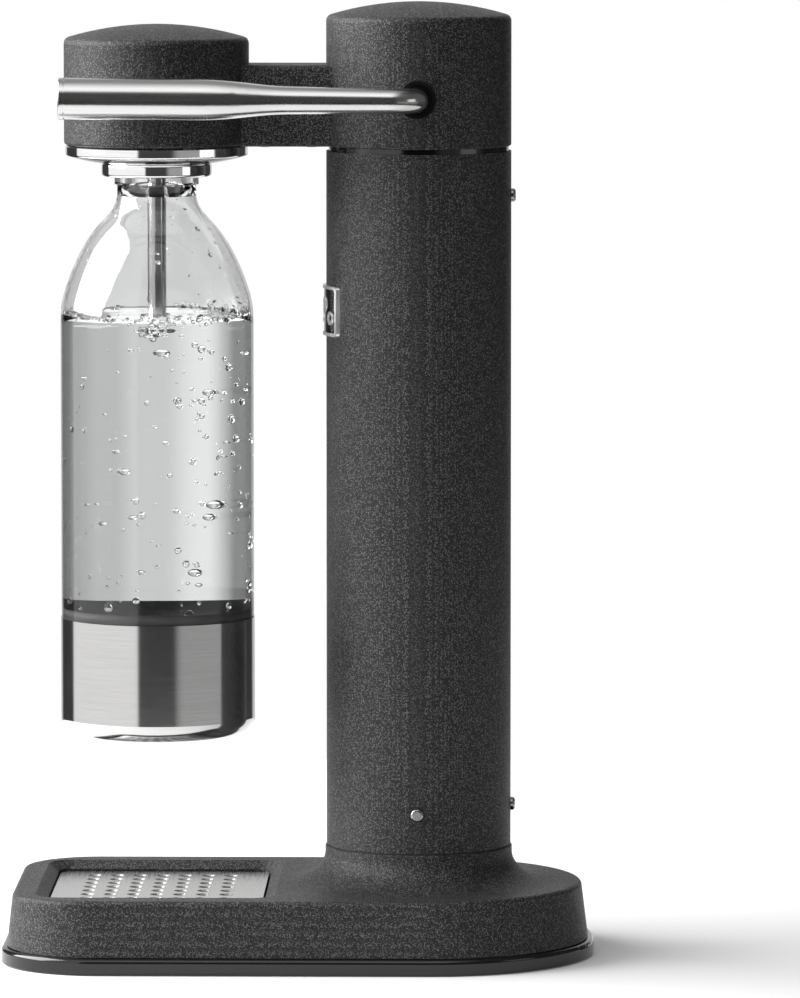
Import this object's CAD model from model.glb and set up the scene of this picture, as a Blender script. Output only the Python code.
"""Soda carbonator: finishes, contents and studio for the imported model."""

import math

import bpy
import numpy as np
from bpy.props import (
    FloatProperty,
    FloatVectorProperty,
    IntProperty,
    PointerProperty,
)
from mathutils import Matrix, Vector


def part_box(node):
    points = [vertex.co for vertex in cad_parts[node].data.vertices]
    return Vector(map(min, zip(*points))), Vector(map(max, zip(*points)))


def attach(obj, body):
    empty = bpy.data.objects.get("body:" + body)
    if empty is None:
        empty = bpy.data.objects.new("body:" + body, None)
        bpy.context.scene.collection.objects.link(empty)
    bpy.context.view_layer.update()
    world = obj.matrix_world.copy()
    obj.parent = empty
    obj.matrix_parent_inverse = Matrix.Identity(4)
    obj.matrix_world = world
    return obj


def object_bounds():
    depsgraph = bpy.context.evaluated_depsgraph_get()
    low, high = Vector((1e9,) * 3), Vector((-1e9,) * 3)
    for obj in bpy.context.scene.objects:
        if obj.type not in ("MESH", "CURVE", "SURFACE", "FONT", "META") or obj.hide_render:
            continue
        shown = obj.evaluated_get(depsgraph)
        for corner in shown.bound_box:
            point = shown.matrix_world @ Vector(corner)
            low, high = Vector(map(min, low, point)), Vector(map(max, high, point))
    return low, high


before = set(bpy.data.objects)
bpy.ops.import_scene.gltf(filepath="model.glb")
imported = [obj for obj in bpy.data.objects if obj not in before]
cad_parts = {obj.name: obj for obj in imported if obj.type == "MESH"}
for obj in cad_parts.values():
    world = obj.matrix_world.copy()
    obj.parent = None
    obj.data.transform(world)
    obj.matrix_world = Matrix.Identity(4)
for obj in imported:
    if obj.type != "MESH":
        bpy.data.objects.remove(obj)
CAD_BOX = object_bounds()

bl_info = {
    "name": "Soda Carbonator",
    "version": (1, 0, 0),
    "blender": (4, 5, 0),
    "location": "3D View > Sidebar > Carbonator",
    "description": "Finishes, water and studio for a powder-coated soda carbonator",
    "category": "Object",
}

MM = 0.001
TAU = 2 * math.pi

# bottle and water, in metres
WATER_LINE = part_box("nozzle_tip")[0][2] + 3.4 * MM
FOOT_CORNER = 7 * MM  # rounding of the bottle's foot, as the water and the lining follow it
FOOT_STEP = 0.9 * MM  # how much narrower the water is inside the cup
WALL_SHARE = 0.7  # the water reaches this share of the way into the wall from outside
WALL_RISE, WALL_REACH = 0.5 * MM, 1.5 * MM  # water climbing the wall
TUBE_RISE, TUBE_REACH = 1.2 * MM, 1.2 * MM  # water climbing the tube
LINING_INSET = 2.3 * MM
LINING_THICKNESS = 0.1 * MM
BAND_INSET = 0.35 * MM  # dark band above the cup: depth in the wall, thickness and height
BAND_THICKNESS = 0.25 * MM
BAND_HEIGHT = 4.3 * MM
LINING_FLOOR = 1.5 * MM
RIPPLES = ((1.0, 3, 260, 0.0), (0.7, 5, -420, 1.3), (0.5, 9, 700, 0.0))  # height, round, out, start
CROWDING = 1.5  # spread in radians of the beads about the crowded side
SMALLNESS = 1.6  # the larger, the more of the beads are small
FOAM_COUNT, TIP_COUNT, RISING_COUNT = 240, 60, 36

# CAD nodes by finish
COATED = ("base_shell", "column_tube", "head_housing")
GLOSSY = ("base_rim", "badge_field", "cap_bush")
MOULDED = (
    "bottom_plate", "arm_cover", "foot_ring", "cylinder_guide", "top_carrier", "shaft_bushes",
    "head_plate",
)
RUBBER = ("rubber_feet", "cylinder_seal")
SILICONE = ("bottle_seal",)
MIRROR = ("splash_bell", "bottle_collar")
SATIN = ("badge_frame", "badge_emblem")
SMOKED = ("neck_ring",)
LEVER_STEEL = ("lever", "lever_end_cap")
TURNED_STEEL = ("bottle_cup",)
DRAWN_STEEL = (
    "carbonating_tube", "nozzle_tip", "gas_pipe", "plunger", "relief_poppet", "plunger_spring",
)
SCREW_STEEL = ("column_screws", "lever_shaft")
PLATED = (
    "bottom_screws", "tie_rods", "arm_cover_screws", "shaft_clip", "cam", "cam_grub_screws",
    "shaft_bracket", "valve_block_screws", "head_plate_screws",
)
BRASS = ("cylinder_valve", "valve_pin", "pipe_nuts", "relief_valve_body")
ALUMINIUM = ("valve_block", "nozzle_block")
SHEET = ("drip_grille",)
PAINTED = ("gas_cylinder",)
CLEAR = ("bottle_body",)


# ---- shader expressions --------------------------------------------------------------------------
class Socket:
    """A shader socket that works in sums: an expression on sockets adds its Math nodes."""

    def __init__(self, graph, socket):
        self.graph = graph
        self.socket = socket

    def __getitem__(self, output):
        return Socket(self.graph, self.socket.node.outputs[output])

    def math(self, operation, *others):
        return self.graph.math(operation, self, *others)

    def __add__(self, other):
        return self.graph.math("ADD", self, other)

    __radd__ = __add__

    def __sub__(self, other):
        return self.graph.math("SUBTRACT", self, other)

    def __rsub__(self, other):
        return self.graph.math("SUBTRACT", other, self)

    def __mul__(self, other):
        return self.graph.math("MULTIPLY", self, other)

    def __neg__(self):
        return self.graph.math("MULTIPLY", self, -1.0)


class Graph:
    """A node tree that is filled by expressions."""

    def __init__(self, tree):
        self.tree = tree
        tree.nodes.clear()

    def node(self, kind, settings=None, inputs=None, output=0):
        """Adds a node: its settings first, then the values or links of its inputs."""
        node = self.tree.nodes.new(kind)
        for name, value in (settings or {}).items():
            setattr(node, name, value)
        for key, value in (inputs or {}).items():
            if isinstance(value, Socket):
                self.tree.links.new(value.socket, node.inputs[key])
            else:
                node.inputs[key].default_value = value
        return Socket(self, node.outputs[output]) if node.outputs else None

    def math(self, operation, *values):
        """One Math node on the values in order."""
        return self.node("ShaderNodeMath", {"operation": operation}, dict(enumerate(values)))

    def smooth(self, value, low, high):
        """0 up to low, 1 from high on, and a smooth step between; low may be the larger of the two."""
        settings = {"interpolation_type": "SMOOTHSTEP"}
        inputs = {"Value": value, "From Min": low, "From Max": high}
        return self.node("ShaderNodeMapRange", settings, inputs)

    def band(self, value, low, high, soft):
        """1 between low and high, with soft edges."""
        return self.smooth(value, low - soft, low + soft) - self.smooth(value, high - soft, high + soft)

    def place(self, stretch=(1.0, 1.0, 1.0)):
        """Object coordinates, on which a pattern comes out stretched this many times along each axis."""
        coordinates = self.node("ShaderNodeTexCoord", output="Object")
        scale = tuple(1 / times for times in stretch)
        return self.node("ShaderNodeMapping", inputs={"Vector": coordinates, "Scale": scale})

    def noise(self, where, size, detail=2.0, roughness=0.5):
        """Cloudy noise from 0 to 1 whose features are about size metres across."""
        inputs = {"Vector": where, "Scale": 1 / size, "Detail": detail, "Roughness": roughness}
        return self.node("ShaderNodeTexNoise", inputs=inputs)

    def cells(self, where, size):
        """Voronoi cells about size metres across: distance from each cell's point, and its colour."""
        inputs = {"Vector": where, "Scale": 1 / size}
        return self.node("ShaderNodeTexVoronoi", {"feature": "F1"}, inputs, "Distance")

    def mix(self, factor, a, b):
        """Colour a where factor is 0 and b where it is 1."""
        settings = {"data_type": "RGBA"}
        return self.node("ShaderNodeMix", settings, {0: factor, 6: a, 7: b}, 2)

    def bump(self, height, distance, strength):
        """A normal from a height of 0 to 1 that stands for distance metres."""
        inputs = {"Strength": strength, "Distance": distance, "Height": height}
        return self.node("ShaderNodeBump", inputs=inputs)

    def surface(self, inputs):
        """The Principled shader and the material's output."""
        shader = self.node("ShaderNodeBsdfPrincipled", inputs=inputs)
        self.node("ShaderNodeOutputMaterial", inputs={"Surface": shader})


def new_material(name):
    """An empty material and its graph."""
    material = bpy.data.materials.new(name)
    material.use_nodes = True
    return material, Graph(material.node_tree)


def opaque(colour):
    """An RGB colour with full alpha."""
    return (*colour, 1.0)


# ---- finishes ------------------------------------------------------------------------------------
def powder_coat(settings):
    """Matt black powder coat: fine orange peel, and pale specks in a share of small cells."""
    material, g = new_material("powder_coat")
    where = g.place()
    grain = g.noise(where, settings.grain * 1.2, 4.0, 0.8)
    clouds = g.noise(where, 0.03, 3.0)
    cell = g.cells(where, settings.grain * 1.3)
    lottery = g.node("ShaderNodeSeparateColor", inputs={"Color": cell["Color"]})
    speck = g.smooth(lottery, 0.3, 1.0) * (1 - g.smooth(cell, 0.25, 0.75))
    tone = g.mix(g.smooth(grain, 0.36, 0.66), opaque(settings.deep), opaque(settings.colour))
    height = grain * 0.6 + g.smooth(cell, 0.7, 0.05) * lottery * 0.4
    g.surface({
        "Base Color": g.mix(speck, tone, opaque(settings.speck)),
        "Roughness": 0.5 + (clouds - 0.5) * 0.12 + (grain - 0.5) * 0.3 - speck * 0.15,
        "IOR": 1.36,
        "Normal": g.bump(height, settings.grain * 0.7, 1.0),
    })
    return material


def gloss_black(settings):
    """Glossy black plastic with a faint moulding ripple and fine dust."""
    material, g = new_material("gloss_black")
    where = g.place()
    ripple = g.noise(where, 0.012, 2.0)
    dust = g.smooth(g.noise(where, 0.0006, 4.0, 0.7), 0.62, 0.8)
    g.surface({
        "Base Color": g.mix(dust * 0.4, opaque(settings.gloss), opaque(settings.speck)),
        "Roughness": 0.1 + ripple * 0.06 + dust * 0.25,
        "IOR": 1.52,
        "Normal": g.bump(ripple, 0.0002, 0.15),
    })
    return material


def moulded_plastic(name, deep, colour):
    """Moulded plastic with a spark-eroded texture."""
    material, g = new_material(name)
    where = g.place()
    texture = g.cells(where, 0.0007)
    clouds = g.noise(where, 0.02, 3.0)
    g.surface({
        "Base Color": g.mix(clouds, opaque(deep), opaque(colour)),
        "Roughness": 0.52 + clouds * 0.14,
        "Normal": g.bump(texture, 0.0001, 0.5),
    })
    return material


def soft_rubber(name, colour, pale):
    """Matt rubber with a fine bloom."""
    material, g = new_material(name)
    bloom = g.noise(g.place(), 0.004, 5.0, 0.7)
    g.surface({
        "Base Color": g.mix(g.smooth(bloom, 0.4, 0.75), opaque(colour), opaque(pale)),
        "Roughness": 0.74 + bloom * 0.18,
        "Normal": g.bump(bloom, 0.0001, 0.4),
    })
    return material


def brushed(name, colour, dark, stretch, streak, roughness, depth=0.3):
    """Metal with streaks: noise drawn out along the axes whose stretch is large, and a soft haze."""
    material, g = new_material(name)
    lines = g.noise(g.place(stretch), streak, 4.0, 0.65)
    where = g.place()
    haze = g.noise(where, 0.018, 3.0)
    wisps = g.smooth(g.noise(where, 0.006, 5.0, 0.7), 0.58, 0.8)
    g.surface({
        "Base Color": g.mix(g.smooth(lines, 0.3, 0.75), opaque(dark), opaque(colour)),
        "Metallic": 1.0,
        "Roughness": roughness + (lines - 0.5) * roughness + haze * 0.05 + wisps * 0.04,
        "Normal": g.bump(lines, streak * 0.05, depth),
    })
    return material


def perforated_sheet(settings):
    """Brushed sheet, with dark grime on the faces that stand upright: the walls of its holes."""
    material, g = new_material("perforated_sheet")
    lines = g.noise(g.place((30.0, 1.0, 1.0)), 0.0008, 4.0, 0.65)
    haze = g.noise(g.place(), 0.018, 3.0)
    normal = g.node("ShaderNodeTexCoord", output="Normal")
    facing = g.node("ShaderNodeSeparateXYZ", inputs={"Vector": normal})
    level = g.smooth(facing["Z"].math("ABSOLUTE"), 0.5, 0.85)
    steel = g.mix(g.smooth(lines, 0.3, 0.75), opaque(settings.steel_dark), opaque(settings.steel))
    g.surface({
        "Base Color": g.mix(level, opaque(settings.grime), steel),
        "Metallic": level,
        "Roughness": 0.95 - level * 0.69 + (lines - 0.5) * 0.26 + haze * 0.05,
        "Normal": g.bump(lines, 0.00004, 0.3),
    })
    return material


def plated_zinc(settings):
    """Zinc plating: small spangle cells, each a little different, with a dull haze."""
    material, g = new_material("plated_zinc")
    where = g.place()
    cell = g.cells(where, 0.0018)
    lottery = g.node("ShaderNodeSeparateColor", inputs={"Color": cell["Color"]})
    haze = g.noise(where, 0.006, 3.0)
    g.surface({
        "Base Color": g.mix(lottery, opaque(settings.zinc_dark), opaque(settings.zinc)),
        "Metallic": 1.0,
        "Roughness": 0.3 + lottery * 0.12 + haze * 0.1,
        "Normal": g.bump(haze, 0.0001, 0.3),
    })
    return material


def cylinder_paint(settings):
    """Satin paint on the gas cylinder, with orange peel and faint handling marks."""
    material, g = new_material("cylinder_paint")
    where = g.place()
    peel = g.noise(where, 0.0018, 2.0)
    marks = g.smooth(g.noise(g.place((1.0, 1.0, 6.0)), 0.004, 5.0, 0.7), 0.62, 0.78)
    g.surface({
        "Base Color": g.mix(marks * 0.5, opaque(settings.paint), opaque(settings.zinc)),
        "Roughness": 0.32 + peel * 0.1 + marks * 0.15,
        "Coat Weight": 0.3,
        "Normal": g.bump(peel, 0.0001, 0.25),
    })
    return material


def clear_wall(settings):
    """Clear bottle wall with a faint flow ripple and a few fine scuffs."""
    material, g = new_material("clear_wall")
    where = g.place()
    flow = g.noise(g.place((1.0, 1.0, 5.0)), 0.012, 2.0)
    scuffs = g.smooth(g.noise(where, 0.003, 5.0, 0.75), 0.66, 0.82)
    g.surface({
        "Base Color": opaque(settings.wall),
        "Roughness": scuffs * 0.03,
        "IOR": settings.wall_index,
        "Transmission Weight": 1.0,
        "Normal": g.bump(flow, 0.0004, 0.05),
    })
    return material


def clear_water(settings):
    """Water, with slow swirls in its surface."""
    material, g = new_material("clear_water")
    swirl = g.noise(g.place((1.0, 1.0, 2.0)), 0.01, 2.0)
    g.surface({
        "Base Color": opaque(settings.water),
        "Roughness": 0.002 + g.smooth(swirl, 0.6, 0.9) * 0.01,
        "IOR": settings.water_index,
        "Transmission Weight": 1.0,
        "Normal": g.bump(swirl, 0.0003, 0.04),
    })
    return material


def clear_bead(settings):
    """Bubbles and drops: clear, with a slight unevenness."""
    material, g = new_material("clear_bead")
    uneven = g.noise(g.place(), 0.0015, 1.0)
    g.surface({
        "Base Color": opaque(settings.water),
        "Roughness": 0.01 + uneven * 0.03,
        "IOR": settings.bead_index,
        "Transmission Weight": 1.0,
        "Normal": g.bump(uneven, 0.0001, 0.1),
    })
    return material


def paint(material, nodes):
    """Gives the material to every slot of the named CAD nodes."""
    for name in nodes:
        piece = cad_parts[name]
        for slot in piece.material_slots:
            slot.material = material


# ---- shapes --------------------------------------------------------------------------------------
def mesh_piece(name, points, quads, triangles, material, body):
    """A smooth mesh from arrays of points, four-cornered faces and three-cornered faces."""
    mesh = bpy.data.meshes.new(name)
    faces = [*quads.tolist(), *triangles.tolist()]
    mesh.from_pydata(points.tolist(), [], faces)
    mesh.polygons.foreach_set("use_smooth", np.ones(len(faces), dtype=bool))
    mesh.update()
    mesh.materials.append(material)
    piece = bpy.data.objects.new(name, mesh)
    bpy.context.scene.collection.objects.link(piece)
    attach(piece, body)


def turned_faces(rings, turns):
    """Faces of rings of points joined in turn, closed round, with one point at each end.

    Point 0 is the first pole, then ring by ring, and the last point is the other pole.
    """
    at = 1 + np.arange(rings * turns).reshape(rings, turns)
    ahead = np.roll(at, -1, axis=1)
    quads = np.stack([at[:-1], ahead[:-1], ahead[1:], at[1:]], axis=-1).reshape(-1, 4)
    first = np.stack([np.zeros(turns, int), ahead[0], at[0]], axis=-1)
    last = np.stack([np.full(turns, rings * turns + 1), at[-1], ahead[-1]], axis=-1)
    return quads, np.concatenate([first, last])


def bottle_axis():
    """The bottle's centre in plan."""
    low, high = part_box("bottle_body")
    return (low[0] + high[0]) / 2, (low[1] + high[1]) / 2


def bottle_profile():
    """The bottle's outer radius at a set of heights, read from its CAD node."""
    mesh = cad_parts["bottle_body"].data
    points = np.empty(len(mesh.vertices) * 3)
    mesh.vertices.foreach_get("co", points)
    points = points.reshape(-1, 3)
    x, y = bottle_axis()
    radius = np.hypot(points[:, 0] - x, points[:, 1] - y)
    heights = np.round(points[:, 2], 5)
    levels = np.unique(heights)
    widest = np.array([radius[heights == level].max() for level in levels])
    outer = widest > 15 * MM
    return levels[outer], widest[outer]


def foot_corner(side, floor, steps):
    """Radius and height along a quarter circle from the floor up to a side of the given radius."""
    bend = np.linspace(0, math.pi / 2, steps)
    return side - FOOT_CORNER * (1 - np.sin(bend)), floor + FOOT_CORNER * (1 - np.cos(bend))


def water_points(settings, turns):
    """The water's surface as rings of points.

    The side follows the bottle's inner wall and lies a little inside the wall itself. The top is a
    disc at the water line: height = line + rise at the wall and at the tube, each falling off as
    exp(-distance / reach), + a ripple that is a sum of three sines of angle and radius.
    """
    x, y = bottle_axis()
    outer = (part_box("bottle_body")[1][0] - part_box("bottle_body")[0][0]) / 2
    inset = settings.wall_thickness * WALL_SHARE
    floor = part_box("bottle_body")[0][2] + inset
    cup_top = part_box("bottle_cup")[1][2]
    tube = (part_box("carbonating_tube")[1][0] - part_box("carbonating_tube")[0][0]) / 2
    side = outer - inset
    low_side = side - FOOT_STEP
    corner_radius, corner_height = foot_corner(low_side, floor, 8)
    foot_radius = np.concatenate([[low_side * 0.3, low_side * 0.7], corner_radius])
    foot_height = np.concatenate([[floor, floor], corner_height])
    wall_height = np.array([cup_top - 1.5 * MM, cup_top, cup_top + 6 * MM, WATER_LINE - 4 * MM])
    wall_radius = np.array([low_side, side, side, side])
    across = side * np.sqrt(np.linspace(1.0, 0.0, 30)[:-1])
    angle = np.linspace(0, TAU, turns, endpoint=False)
    rise = WALL_RISE * np.exp((across - side) / WALL_REACH)
    rise += TUBE_RISE * np.exp(-np.abs(across - tube) / TUBE_REACH)
    r, a = np.meshgrid(across, angle, indexing="ij")
    ripple = sum(share * np.sin(waves * a + out * r + start) for share, waves, out, start in RIPPLES)
    fade = np.clip((side - r) / side * 4, 0, 1) * np.clip(r / side * 3, 0, 1)
    top = WATER_LINE + rise[:, None] + settings.ripple * ripple * fade
    body_radius = np.concatenate([foot_radius, wall_radius])[:, None] + np.zeros(turns)
    body_height = np.concatenate([foot_height, wall_height])[:, None] + np.zeros(turns)
    radius = np.concatenate([body_radius, r])
    height = np.concatenate([body_height, top])
    rings = np.stack([x + radius * np.cos(angle), y + radius * np.sin(angle), height], axis=-1)
    points = [[[x, y, floor]], rings.reshape(-1, 3), [[x, y, WATER_LINE]]]
    return np.concatenate(points), len(radius)


def cup_lining(material):
    """A thin dark lining inside the foot of the bottle, which shows as a band above the steel cup.

    Turned about the bottle's axis: up from the middle of the floor round its corner, out along the
    cup's lip, up inside the bottle's wall, and back the same way a little further in.
    """
    x, y = bottle_axis()
    low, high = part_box("bottle_cup")
    outer = (high[0] - low[0]) / 2 - LINING_INSET
    thickness = LINING_THICKNESS
    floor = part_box("bottle_body")[0][2] + LINING_FLOOR
    lip = high[2] + 0.1 * MM
    levels, widest = bottle_profile()
    band = np.interp(lip + 3 * MM, levels, widest) - BAND_INSET
    inner_band = band - BAND_THICKNESS
    top = lip + BAND_HEIGHT
    step = lip + 0.3 * MM
    out_r, out_z = foot_corner(outer, floor, 10)
    back_r, back_z = (out_r - thickness)[::-1], (out_z + thickness)[::-1]
    edge = [outer, band, band, inner_band, inner_band, outer - thickness]
    radius = np.concatenate([out_r, edge, back_r])
    height = np.concatenate([out_z, [lip, lip, top, top, step, step], back_z])
    turns = 96
    angle = np.linspace(0, TAU, turns, endpoint=False)
    r, a = np.meshgrid(radius, angle, indexing="ij")
    rings = np.stack([x + r * np.cos(a), y + r * np.sin(a), height[:, None] + 0 * a], axis=-1)
    points = np.concatenate([[[x, y, floor]], rings.reshape(-1, 3), [[x, y, floor + thickness]]])
    quads, triangles = turned_faces(len(radius), turns)
    mesh_piece("cup_lining", points, quads, triangles, material, "bottle")


def bead_template(rings, turns):
    """A unit sphere: rings of points at even polar angles, and its faces."""
    polar = np.linspace(math.pi, 0, rings + 2)[1:-1, None]
    angle = np.linspace(0, TAU, turns, endpoint=False)
    ones = np.ones(turns)
    ring = np.sin(polar)
    ball = np.stack([ring * np.cos(angle), ring * np.sin(angle), np.cos(polar) * ones], axis=-1)
    points = np.concatenate([[[0, 0, -1.0]], ball.reshape(-1, 3), [[0, 0, 1.0]]])
    return points, *turned_faces(rings, turns)


def beads(name, centres, around, along, outward, material):
    """Many small ellipsoids in one mesh, which rides the bottle.

    Each point is centre + x * around + y * along + z * outward, where (x, y, z) is on a unit sphere
    and the three vectors are the bead's half axes.
    """
    ball, quads, triangles = bead_template(rings=5, turns=10)
    axes = np.stack([around, along, outward], axis=1)
    points = centres[:, None, :] + np.einsum("pk,mkc->mpc", ball, axes)
    step = np.arange(len(centres))[:, None, None] * len(ball)
    many_quads = (quads[None] + step).reshape(-1, 4)
    many_triangles = (triangles[None] + step).reshape(-1, 3)
    points = points.reshape(-1, 3)
    mesh_piece(name, points, many_quads, many_triangles, material, "bottle")


def wall_frames(angle, slope):
    """Unit vectors at angles round the bottle: around it, up its wall and out of it."""
    zero = np.zeros_like(angle)
    around = np.stack([-np.sin(angle), np.cos(angle), zero], axis=-1)
    lean = np.arctan(slope)
    level = np.cos(lean)
    outward = np.stack([np.cos(angle) * level, np.sin(angle) * level, np.sin(lean)], axis=-1)
    along = np.cross(outward, around)
    return around, along, outward


def wall_beads(name, settings, seed, count, low, high, smallest, largest, flat, material):
    """Beads on the bottle's wall between two heights, more of them small than large.

    The size is smallest * (largest / smallest) ** (u ** SMALLNESS), u even from 0 to 1. They sit on
    the inner face of the wall, are thickest on its crowded side, and are flat times as deep as they
    are wide.
    """
    chance = np.random.default_rng(seed)
    levels, widest = bottle_profile()
    z = chance.uniform(low, high, count)
    angle = chance.normal(settings.crowded, CROWDING, count)
    size = smallest * (largest / smallest) ** (chance.uniform(0, 1, count) ** SMALLNESS)
    z = np.minimum(z, high - size)
    step = 0.5 * MM
    radius = np.interp(z, levels, widest)
    slope = -(np.interp(z + step, levels, widest) - np.interp(z - step, levels, widest)) / (2 * step)
    around, along, outward = wall_frames(angle, slope)
    sink = settings.wall_thickness + 0.15 * size + flat * size
    x, y = bottle_axis()
    foot = np.stack([x + radius * np.cos(angle), y + radius * np.sin(angle), z], axis=-1)
    centres = foot - outward * sink[:, None]
    size = size[:, None]
    beads(name, centres, around * size, along * size, outward * size * flat, material)


def floating_beads(name, seed, centre, spread, count, smallest, largest, material):
    """Round beads scattered about a centre: each place is centre + spread * a normal chance number."""
    chance = np.random.default_rng(seed)
    size = chance.uniform(smallest, largest, count)[:, None]
    centres = np.asarray(centre) + chance.normal(0, 1, (count, 3)) * np.asarray(spread)
    centres[:, 2] = np.minimum(centres[:, 2], WATER_LINE - size[:, 0] * 0.6)
    axis = np.eye(3)
    arrays = [np.tile(axis[i], (count, 1)) * size for i in range(3)]
    beads(name, centres, *arrays, material)


# ---- settings ------------------------------------------------------------------------------------
def colour_property(name, description, default):
    """A colour that the user may change."""
    return FloatVectorProperty(
        name=name, description=description, default=default, size=3, min=0, max=1, subtype="COLOR"
    )


def measure(name, description, default, **more):
    """A number that the user may change, with its unit or limits."""
    return FloatProperty(name=name, description=description, default=default, **more)


def length_property(name, description, default):
    """A length in metres that the user may change."""
    return measure(name, description, default, min=0, unit="LENGTH", precision=5)


class CoatSettings(bpy.types.PropertyGroup):
    """Colours of the coat, plastics and rubber."""

    colour: colour_property("Coat", "Powder coat on its raised grain", (0.017, 0.017, 0.0175))
    deep: colour_property("Deep", "Coat between its grain, and dark plastic", (0.003, 0.003, 0.0032))
    speck: colour_property("Speck", "Pale specks in the coat, and dust", (0.14, 0.14, 0.14))
    lining: colour_property("Lining", "Dark grey lining of the bottle's foot", (0.04, 0.04, 0.041))
    silicone: colour_property("Silicone", "Pale silicone of the bottle's seal", (0.62, 0.62, 0.61))
    gloss: colour_property("Gloss", "Glossy black of the skirt", (0.006, 0.006, 0.0065))
    grain: length_property("Grain", "Width of one grain of the coat", 0.0004)


class MetalSettings(bpy.types.PropertyGroup):
    """Colours of the metals and of the gas cylinder."""

    steel: colour_property("Steel", "Stainless steel of the lever, cup and tube", (0.66, 0.655, 0.65))
    steel_dark: colour_property("Steel in streaks", "Steel in its brushing", (0.6, 0.595, 0.59))
    screw: colour_property("Screws", "Steel of the column's screws", (0.4, 0.4, 0.4))
    screw_dark: colour_property("Screws in streaks", "Column's screws in their marks", (0.22, 0.22, 0.22))
    grime: colour_property("Grime", "Grime in the holes of the grille", (0.02, 0.02, 0.02))
    chrome: colour_property("Chrome", "Chromed bell, collar and badge", (0.86, 0.86, 0.865))
    chrome_dark: colour_property("Chrome haze", "Chrome where it is hazed", (0.76, 0.76, 0.765))
    smoked: colour_property("Smoked chrome", "Ring in the gap under the cap", (0.05, 0.05, 0.052))
    zinc: colour_property("Zinc", "Zinc plating", (0.62, 0.63, 0.65))
    zinc_dark: colour_property("Dull zinc", "Zinc plating in its duller cells", (0.42, 0.43, 0.45))
    brass: colour_property("Brass", "Brass of the gas fittings", (0.72, 0.5, 0.2))
    brass_dark: colour_property("Dull brass", "Brass in its tarnish", (0.5, 0.33, 0.13))
    aluminium: colour_property("Aluminium", "Aluminium blocks", (0.78, 0.79, 0.8))
    aluminium_dark: colour_property("Dull aluminium", "Aluminium in its marks", (0.6, 0.61, 0.62))
    paint: colour_property("Cylinder", "Paint on the gas cylinder", (0.09, 0.1, 0.11))


class BottleSettings(bpy.types.PropertyGroup):
    """The bottle, its water, bubbles and drops."""

    wall: colour_property("Wall", "Tint of the clear wall", (0.97, 0.975, 0.975))
    water: colour_property("Water", "Tint of the water", (0.985, 0.99, 0.99))
    wall_index: measure("Wall index", "Refractive index of the wall", 1.45, min=1, max=2)
    water_index: measure("Water index", "Refractive index of water", 1.33, min=1, max=2)
    bead_index: measure("Bead index", "Refractive index of bubbles and drops", 1.52, min=1, max=2)
    wall_thickness: length_property("Wall thickness", "Thickness of the bottle's wall", 0.0015)
    ripple: length_property("Ripple", "Height of the ripples on the water", 0.00018)
    bubbles: IntProperty(name="Bubbles", description="Bubbles on the wall under water", default=260, min=0)
    drops: IntProperty(name="Drops", description="Number of drops on the shoulder", default=90, min=0)
    crowded: measure("Crowded side", "Where the beads are thickest", math.radians(80), unit="ROTATION")
    seed: IntProperty(name="Seed", description="Start of the chance numbers", default=11, min=0)


class StageSettings(bpy.types.PropertyGroup):
    """Floor, lights and camera."""

    floor: colour_property("Floor", "Pale floor", (0.76, 0.76, 0.76))
    floor_cloud: colour_property("Floor clouds", "Floor in its faint clouds", (0.74, 0.74, 0.74))
    floor_glow: measure("Floor glow", "Light of the floor's own, as a lit table has", 0.06, min=0)
    floor_radius: measure("Floor radius", "Radius of the floor", 0.66, unit="LENGTH")
    key_power: measure("Key light", "Power of the key light", 76.0, unit="POWER")
    strip_power: measure("Strip light", "Power of the strip light", 0.7, unit="POWER")
    distance: measure("Camera distance", "Camera to the point it looks at", 3.5316, unit="LENGTH")
    turn: measure("Camera turn", "Turn from the lever's side", math.radians(1.086), unit="ROTATION")
    pitch: measure("Camera pitch", "Camera's height as an angle", math.radians(5.475), unit="ROTATION")
    lens: FloatProperty(name="Lens", description="Focal length in millimetres", default=291.47)
    aim: FloatVectorProperty(
        name="Aim", description="Point the camera looks at", default=(0.0, 0.04402, 0.19925),
        unit="LENGTH",
    )


# ---- stage ---------------------------------------------------------------------------------------
# Walls and windows of the studio: from and to in degrees about the upright axis, and brightness. The
# rear ones count from the side away from the camera, the others from the camera's side.
LEFT_BOX = (-118, -21, 1.2)
FRONT_GAP = (-21, 24, 0.01)
RIGHT_WALL = (24, 128, 0.06)
REAR_WALL = (-24, 24, 0.7)
REAR_WINDOWS = (
    (-75, -46, 0.16), (-46, -30, 0.26), (-30, -23, 0.6), (-23, -9, 0.93), (-9, 6, 0.72), (6, 22, 0.52),
    (22, 38, 0.42), (38, 75, 0.25),
)
REAR_REST = 0.1
FRONT_THROUGH = 0.62  # the left wall as light that passes through clear pieces sees it
LOW_WALL = (26, 90, 0.36)  # pale foot of the right wall
CEILING_FROM, CEILING_TO = 0.57, 0.78  # height in the direction where walls become ceiling
BELOW_FROM, BELOW_TO = -0.5, -0.05  # and where they fade below the floor
KEY_PLACE, KEY_SIZE = (-0.05, -1.35, 1.0), (1.5, 1.5)
STRIP_PLACE, STRIP_SIZE = (0.47, 1.15, 0.45), (0.5, 0.45)


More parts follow.
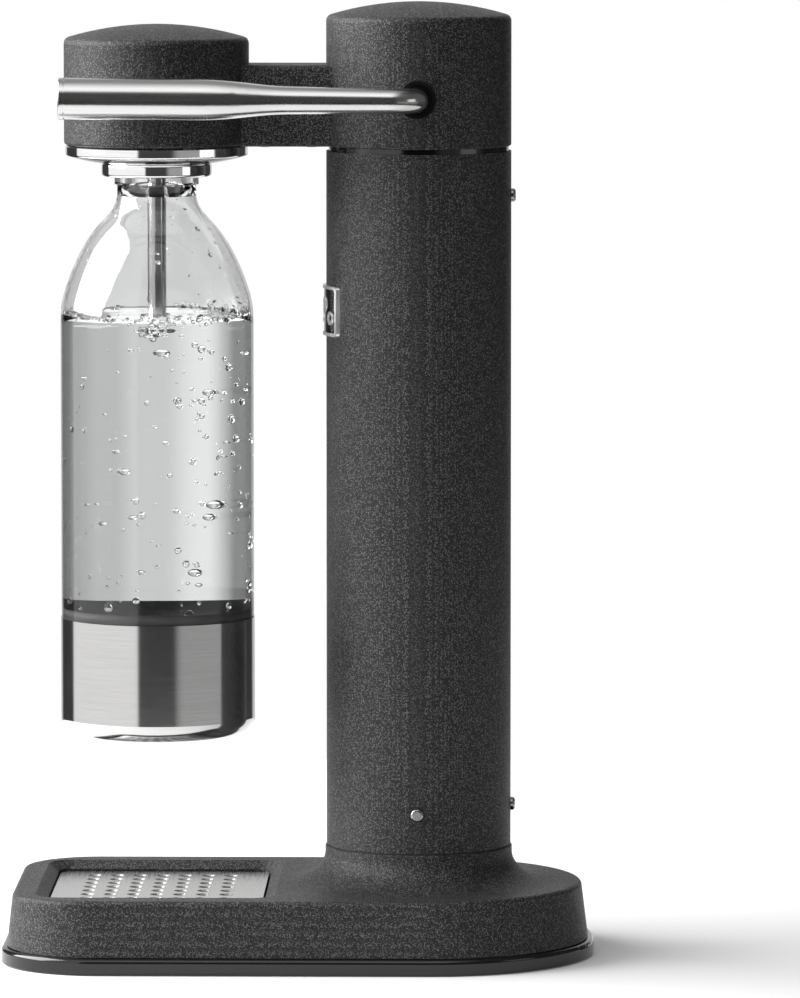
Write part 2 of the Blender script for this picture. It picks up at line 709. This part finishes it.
def studio_world():
    """Soft studio round the object, worked out from direction.

    Reflections see a bright wall on the left, a dark gap behind the camera, a dim wall on the right
    and a bright ceiling towards the camera. Light that passes through clear pieces sees a row of
    pale windows behind the object. The camera itself sees plain white.
    """
    world = bpy.data.worlds.new("studio")
    bpy.context.scene.world = world
    world.use_nodes = True
    g = Graph(world.node_tree)
    direction = g.node("ShaderNodeTexCoord", output="Generated")
    x = g.node("ShaderNodeSeparateXYZ", inputs={"Vector": direction})
    y, z = x["Y"], x["Z"]
    degrees = 180 / math.pi
    turn = y.math("ARCTAN2", x) * degrees
    rear = y.math("ARCTAN2", -x) * degrees
    walls = g.band(rear, *REAR_WALL[:2], 3.0) * REAR_WALL[2] + 0.03
    for start, end, level in (LEFT_BOX, FRONT_GAP, RIGHT_WALL):
        walls = walls + g.band(turn, start, end, 2.0) * level
    ceiling = (0.35 + g.smooth(x, -0.3, 0.6) * 1.2) * (0.12 + g.band(y, -0.5, 0.28, 0.2) * 0.88)
    low = g.smooth(z, -0.02, -0.07)
    walls = walls * (1 - low * 0.12) + low * g.band(turn, *LOW_WALL[:2], 7.0) * LOW_WALL[2]
    height = g.smooth(z, CEILING_FROM, CEILING_TO)
    reflected = walls * (1 - height) + ceiling * height
    reflected = reflected * g.smooth(z, BELOW_FROM, BELOW_TO) + 0.02
    through = REAR_REST + g.band(turn, *LEFT_BOX[:2], 6.0) * FRONT_THROUGH
    through = through * (1 - g.band(rear, -75, 75, 3.0))
    for start, end, level in REAR_WINDOWS:
        through = through + g.band(rear, start, end, 5.0) * level
    path = g.node("ShaderNodeLightPath")
    clear = path["Is Transmission Ray"]
    seen = path["Is Camera Ray"]
    light = reflected * (1 - clear) + through * clear
    light = light * (1 - seen) + seen
    shader = g.node("ShaderNodeBackground", inputs={"Color": (1, 1, 1, 1), "Strength": light})
    g.node("ShaderNodeOutputWorld", inputs={"Surface": shader})


def floor_disc(settings):
    """A flat floor: rings of points at growing radius, closed at the middle."""
    turns, shares = 96, np.array([0.2, 0.6, 1.0])
    radius = shares[:, None] * settings.floor_radius
    angle = np.linspace(0, TAU, turns, endpoint=False)
    rings = np.stack([radius * np.cos(angle), radius * np.sin(angle), radius * 0 * angle], axis=-1)
    points = np.concatenate([[[0, 0, 0]], rings.reshape(-1, 3)])
    at = 1 + np.arange(len(shares) * turns).reshape(len(shares), turns)
    ahead = np.roll(at, -1, axis=1)
    quads = np.stack([at[:-1], at[1:], ahead[1:], ahead[:-1]], axis=-1).reshape(-1, 4)
    middle = np.stack([np.zeros(turns, int), at[0], ahead[0]], axis=-1)
    material, g = new_material("pale_floor")
    cloud = g.noise(g.place(), 0.2, 2.0)
    g.surface({
        "Base Color": g.mix(cloud, opaque(settings.floor), opaque(settings.floor_cloud)),
        "Roughness": 0.85 + cloud * 0.1,
        "Specular IOR Level": 0.1,
        "Emission Color": (1.0, 1.0, 1.0, 1.0),
        "Emission Strength": settings.floor_glow,
    })
    mesh = bpy.data.meshes.new("floor")
    mesh.from_pydata(points.tolist(), [], [*quads.tolist(), *middle.tolist()])
    mesh.materials.append(material)
    floor = bpy.data.objects.new("floor", mesh)
    bpy.context.scene.collection.objects.link(floor)


def soft_light(name, place, aim, size, power):
    """A rectangular area light that points at a place."""
    light = bpy.data.lights.new(name, "AREA")
    light.shape = "RECTANGLE"
    light.size, light.size_y = size
    light.energy = power
    lamp = bpy.data.objects.new(name, light)
    bpy.context.scene.collection.objects.link(lamp)
    towards = Vector(aim) - Vector(place)
    turned = towards.to_track_quat("-Z", "Y").to_matrix().to_4x4()
    lamp.matrix_world = Matrix.Translation(place) @ turned


def studio_camera(settings):
    """The camera on its arm: distance along a direction of given turn and pitch from its aim."""
    turn, pitch = settings.turn, settings.pitch
    back = Vector((math.cos(turn) * math.cos(pitch), math.sin(turn) * math.cos(pitch), math.sin(pitch)))
    right = Vector((-math.sin(turn), math.cos(turn), 0))
    up = back.cross(right)
    place = Vector(settings.aim) + back * settings.distance
    data = bpy.data.cameras.new("camera")
    data.lens = settings.lens
    data.sensor_width = 36
    data.clip_end = 50
    camera = bpy.data.objects.new("camera", data)
    bpy.context.scene.collection.objects.link(camera)
    turned = Matrix((right, up, back)).transposed().to_4x4()
    camera.matrix_world = Matrix.Translation(place) @ turned
    bpy.context.scene.camera = camera


# ---- operators -----------------------------------------------------------------------------------
class CARBONATOR_OT_coat(bpy.types.Operator):
    """Powder coat on the base, the column and the head"""

    bl_idname = "carbonator.coat"
    bl_label = "Powder Coat"

    def execute(self, context):
        paint(powder_coat(context.scene.carbonator_coat), COATED)
        return {"FINISHED"}


class CARBONATOR_OT_plastics(bpy.types.Operator):
    """Glossy skirt and bush, moulded plates and rings, rubber feet and seals"""

    bl_idname = "carbonator.plastics"
    bl_label = "Plastics and Rubber"

    def execute(self, context):
        settings = context.scene.carbonator_coat
        paint(gloss_black(settings), GLOSSY)
        paint(moulded_plastic("moulded_plastic", settings.deep, settings.colour), MOULDED)
        paint(soft_rubber("black_rubber", settings.deep, settings.speck), RUBBER)
        paint(soft_rubber("pale_silicone", settings.silicone, settings.silicone), SILICONE)
        return {"FINISHED"}


class CARBONATOR_OT_steel(bpy.types.Operator):
    """Brushed steel on the lever, the bottle's cup, the tube, the grille and the screws"""

    bl_idname = "carbonator.steel"
    bl_label = "Steel"

    def execute(self, context):
        s = context.scene.carbonator_metal
        steel = (s.steel, s.steel_dark)
        paint(brushed("lever_steel", *steel, (1.0, 40.0, 1.0), 0.0006, 0.16, 0.12), LEVER_STEEL)
        paint(brushed("cup_steel", *steel, (60.0, 60.0, 1.0), 0.0004, 0.09, 0.01), TURNED_STEEL)
        paint(brushed("drawn_steel", *steel, (1.0, 1.0, 30.0), 0.0006, 0.13), DRAWN_STEEL)
        paint(perforated_sheet(s), SHEET)
        paint(brushed("screw_steel", s.screw, s.screw_dark, (1.0, 1.0, 1.0), 0.0004, 0.22), SCREW_STEEL)
        return {"FINISHED"}


class CARBONATOR_OT_chrome(bpy.types.Operator):
    """Chrome on the bell, the collar, the neck ring and the badge"""

    bl_idname = "carbonator.chrome"
    bl_label = "Chrome"

    def execute(self, context):
        s = context.scene.carbonator_metal
        paint(brushed("chrome", s.chrome, s.chrome_dark, (12.0, 12.0, 1.0), 0.002, 0.04, 0.05), MIRROR)
        paint(brushed("satin_chrome", s.chrome, s.chrome_dark, (1.0, 1.0, 8.0), 0.001, 0.34, 0.1), SATIN)
        paint(brushed("smoked_chrome", s.smoked, s.smoked, (12.0, 12.0, 1.0), 0.001, 0.1, 0.1), SMOKED)
        return {"FINISHED"}


class CARBONATOR_OT_gas_side(bpy.types.Operator):
    """Brass, aluminium, zinc plating and paint of the gas side and the fasteners"""

    bl_idname = "carbonator.gas_side"
    bl_label = "Gas Side"

    def execute(self, context):
        s = context.scene.carbonator_metal
        turned = (4.0, 4.0, 1.0)
        paint(brushed("brass", s.brass, s.brass_dark, turned, 0.0008, 0.22), BRASS)
        paint(brushed("aluminium", s.aluminium, s.aluminium_dark, turned, 0.001, 0.3), ALUMINIUM)
        paint(plated_zinc(s), PLATED)
        paint(cylinder_paint(s), PAINTED)
        return {"FINISHED"}


class CARBONATOR_OT_bottle(bpy.types.Operator):
    """Clear wall of the bottle, and the dark lining of its cup"""

    bl_idname = "carbonator.bottle"
    bl_label = "Bottle"

    def execute(self, context):
        paint(clear_wall(context.scene.carbonator_bottle), CLEAR)
        coat = context.scene.carbonator_coat
        cup_lining(moulded_plastic("grey_plastic", coat.lining, coat.speck))
        return {"FINISHED"}


class CARBONATOR_OT_water(bpy.types.Operator):
    """Water in the bottle, up to just above the tube's tip"""

    bl_idname = "carbonator.water"
    bl_label = "Water"

    def execute(self, context):
        settings = context.scene.carbonator_bottle
        turns = 144
        points, rings = water_points(settings, turns)
        quads, triangles = turned_faces(rings, turns)
        mesh_piece("water", points, quads, triangles, clear_water(settings), "bottle")
        return {"FINISHED"}


class CARBONATOR_OT_bubbles(bpy.types.Operator):
    """Bubbles on the wall, in the water and round the tube's tip, and drops on the shoulder"""

    bl_idname = "carbonator.bubbles"
    bl_label = "Bubbles and Drops"

    def execute(self, context):
        settings = context.scene.carbonator_bottle
        seed = settings.seed
        material = clear_bead(settings)
        cup_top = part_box("bottle_cup")[1][2]
        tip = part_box("nozzle_tip")[0]
        x, y = bottle_axis()
        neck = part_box("bottle_collar")[0][2]
        wall_beads("wall_bubbles", settings, seed, settings.bubbles, cup_top, WATER_LINE - 1 * MM,
                   0.5 * MM, 2.3 * MM, 0.8, material)
        wall_beads("foam_ring", settings, seed + 1, FOAM_COUNT, WATER_LINE - 1.8 * MM,
                   WATER_LINE + 0.8 * MM, 0.5 * MM, 1.5 * MM, 0.9, material)
        wall_beads("shoulder_drops", settings, seed + 2, settings.drops, WATER_LINE + 2 * MM,
                   neck - 8 * MM, 0.25 * MM, 1.4 * MM, 0.4, material)
        centre, spread = (x, y, tip[2] - 1 * MM), (3.4 * MM, 3.4 * MM, 2.6 * MM)
        floating_beads("tip_bubbles", seed + 3, centre, spread, TIP_COUNT, 0.8 * MM, 1.9 * MM, material)
        centre, spread = (x, y + 6 * MM, tip[2] - 40 * MM), (12 * MM, 12 * MM, 34 * MM)
        floating_beads("rising_bubbles", seed + 4, centre, spread, RISING_COUNT, 0.4 * MM, 1.2 * MM,
                       material)
        return {"FINISHED"}


class CARBONATOR_OT_stage(bpy.types.Operator):
    """Pale floor, soft studio light and the camera"""

    bl_idname = "carbonator.stage"
    bl_label = "Stage"

    def execute(self, context):
        settings = context.scene.carbonator_stage
        context.scene.view_settings.view_transform = "Standard"
        studio_world()
        floor_disc(settings)
        middle = (0, 0, CAD_BOX[1][2] / 2)
        soft_light("key", KEY_PLACE, middle, KEY_SIZE, settings.key_power)
        soft_light("strip", STRIP_PLACE, middle, STRIP_SIZE, settings.strip_power)
        studio_camera(settings)
        return {"FINISHED"}


class CARBONATOR_PT_panel(bpy.types.Panel):
    """The carbonator's pieces and settings"""

    bl_idname = "CARBONATOR_PT_panel"
    bl_label = "Carbonator"
    bl_space_type = "VIEW_3D"
    bl_region_type = "UI"
    bl_category = "Carbonator"

    def draw(self, context):
        for operator in OPERATORS:
            self.layout.operator(operator.bl_idname)
        for name, group in GROUPS.items():
            box = self.layout.box()
            for key in group.__annotations__:
                box.prop(getattr(context.scene, name), key)


GROUPS = {
    "carbonator_coat": CoatSettings,
    "carbonator_metal": MetalSettings,
    "carbonator_bottle": BottleSettings,
    "carbonator_stage": StageSettings,
}
OPERATORS = (
    CARBONATOR_OT_coat,
    CARBONATOR_OT_plastics,
    CARBONATOR_OT_steel,
    CARBONATOR_OT_chrome,
    CARBONATOR_OT_gas_side,
    CARBONATOR_OT_bottle,
    CARBONATOR_OT_water,
    CARBONATOR_OT_bubbles,
    CARBONATOR_OT_stage,
)


def register():
    """Registers the settings, the operators and the panel."""
    for name, group in GROUPS.items():
        bpy.utils.register_class(group)
        setattr(bpy.types.Scene, name, PointerProperty(type=group))
    for cls in (*OPERATORS, CARBONATOR_PT_panel):
        bpy.utils.register_class(cls)


def unregister():
    """Removes what register added."""
    for cls in reversed((*OPERATORS, CARBONATOR_PT_panel)):
        bpy.utils.unregister_class(cls)
    for name, group in GROUPS.items():
        delattr(bpy.types.Scene, name)
        bpy.utils.unregister_class(group)


def main():
    """Runs every operator in order."""
    register()
    for operator in OPERATORS:
        group, name = operator.bl_idname.split(".")
        getattr(getattr(bpy.ops, group), name)()


if __name__ == "__main__":
    main()
